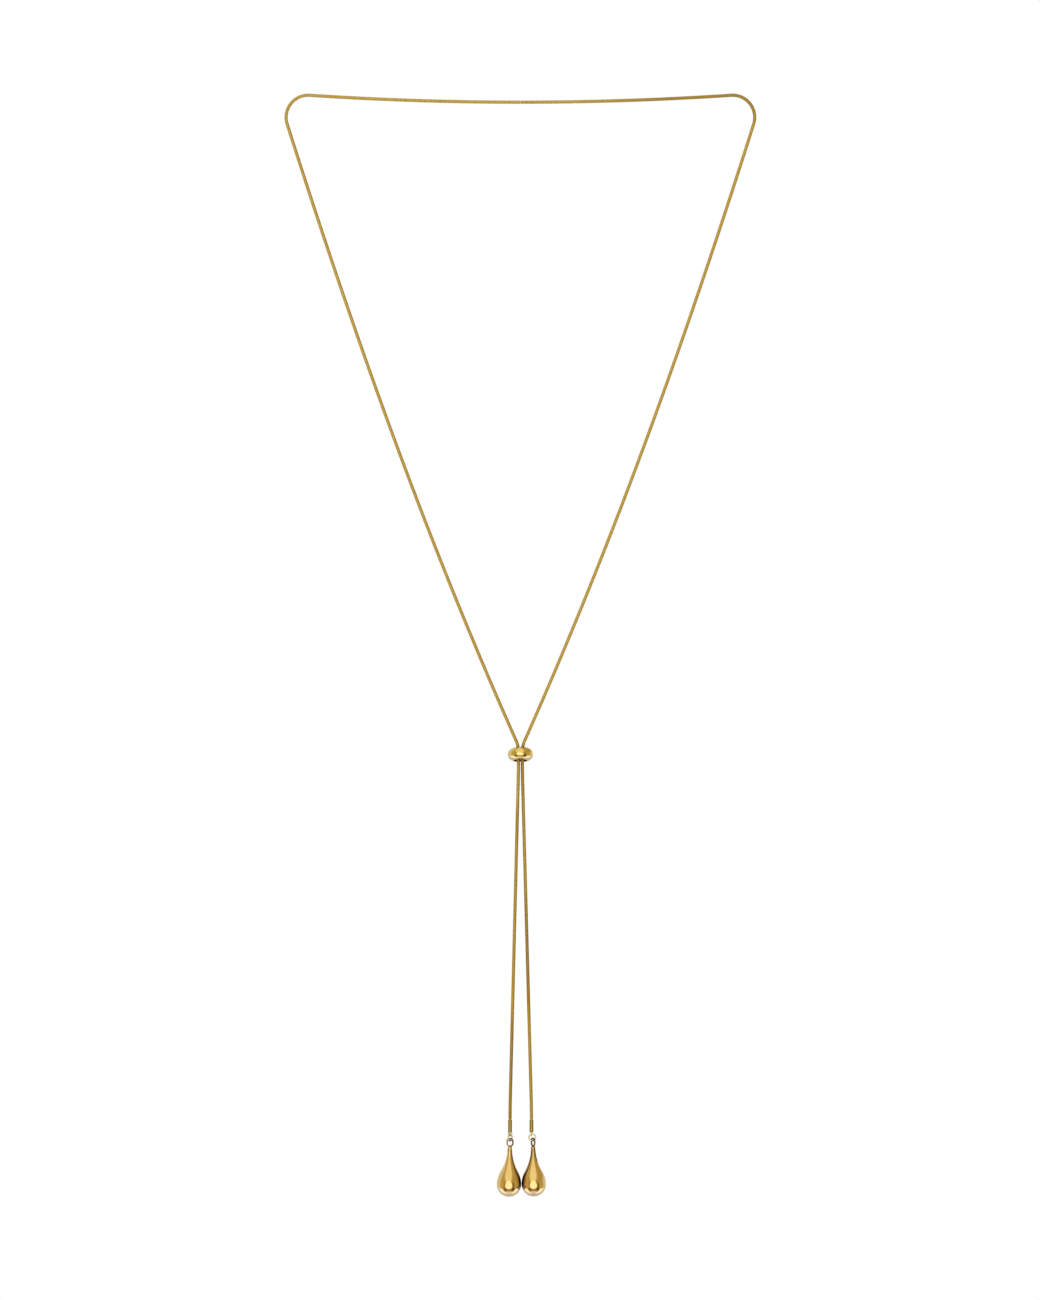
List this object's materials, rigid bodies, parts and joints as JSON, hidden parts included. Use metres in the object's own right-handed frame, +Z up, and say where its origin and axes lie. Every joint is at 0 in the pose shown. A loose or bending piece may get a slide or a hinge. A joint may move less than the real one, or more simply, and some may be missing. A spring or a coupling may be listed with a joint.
{
  "type": "lariat necklace",
  "caption": "Long lariat necklace: a round snake chain runs doubled through a sliding bead, and its two free tails end in polished teardrops on jump rings.",
  "frame": {"origin": "the middle of the back run, on the chain's middle line, where it lies on the neck", "axes": "+Z up; the necklace hangs down in the plane Y = 0, with +X to the right as seen from its front, which faces -Y"},
  "size_m": [0.1322, 0.007, 0.3089],
  "materials": {
    "chain_gold": "bright gold plate on fine snake chain links",
    "bead_gold": "polished gold plate",
    "cap_gold": "polished gold plate",
    "ring_gold": "polished gold plate on round wire",
    "drop_gold": "mirror polished gold plate"
  },
  "bodies": {
    "necklace": {"left_chain": "chain_gold", "right_chain": "chain_gold", "slider_bead": "bead_gold", "left_end_cap": "cap_gold", "right_end_cap": "cap_gold"},
    "left_ring": {"left_jump_ring": "ring_gold"},
    "left_teardrop": {"left_drop": "drop_gold"},
    "right_ring": {"right_jump_ring": "ring_gold"},
    "right_teardrop": {"right_drop": "drop_gold"}
  },
  "joints": [
    {"name": "left_ring_swing", "type": "hinge", "parent": "necklace", "child": "left_ring", "pos_m": [-0.0029, 0, -0.2894], "axis": [-0.8192, 0.5736, 0], "range_deg": [0, 60]},
    {"name": "left_drop_swing", "type": "hinge", "parent": "left_ring", "child": "left_teardrop", "pos_m": [-0.0029, 0, -0.29084], "axis": [0, 1, 0], "range_deg": [0, 60]},
    {"name": "right_ring_swing", "type": "hinge", "parent": "necklace", "child": "right_ring", "pos_m": [0.0031, 0, -0.2894], "axis": [0, -1, 0], "range_deg": [0, 35]},
    {"name": "right_drop_swing", "type": "hinge", "parent": "right_ring", "child": "right_teardrop", "pos_m": [0.00354, 0, -0.29077], "axis": [-0.829, -0.5592, 0], "range_deg": [0, 60]}
  ]
}
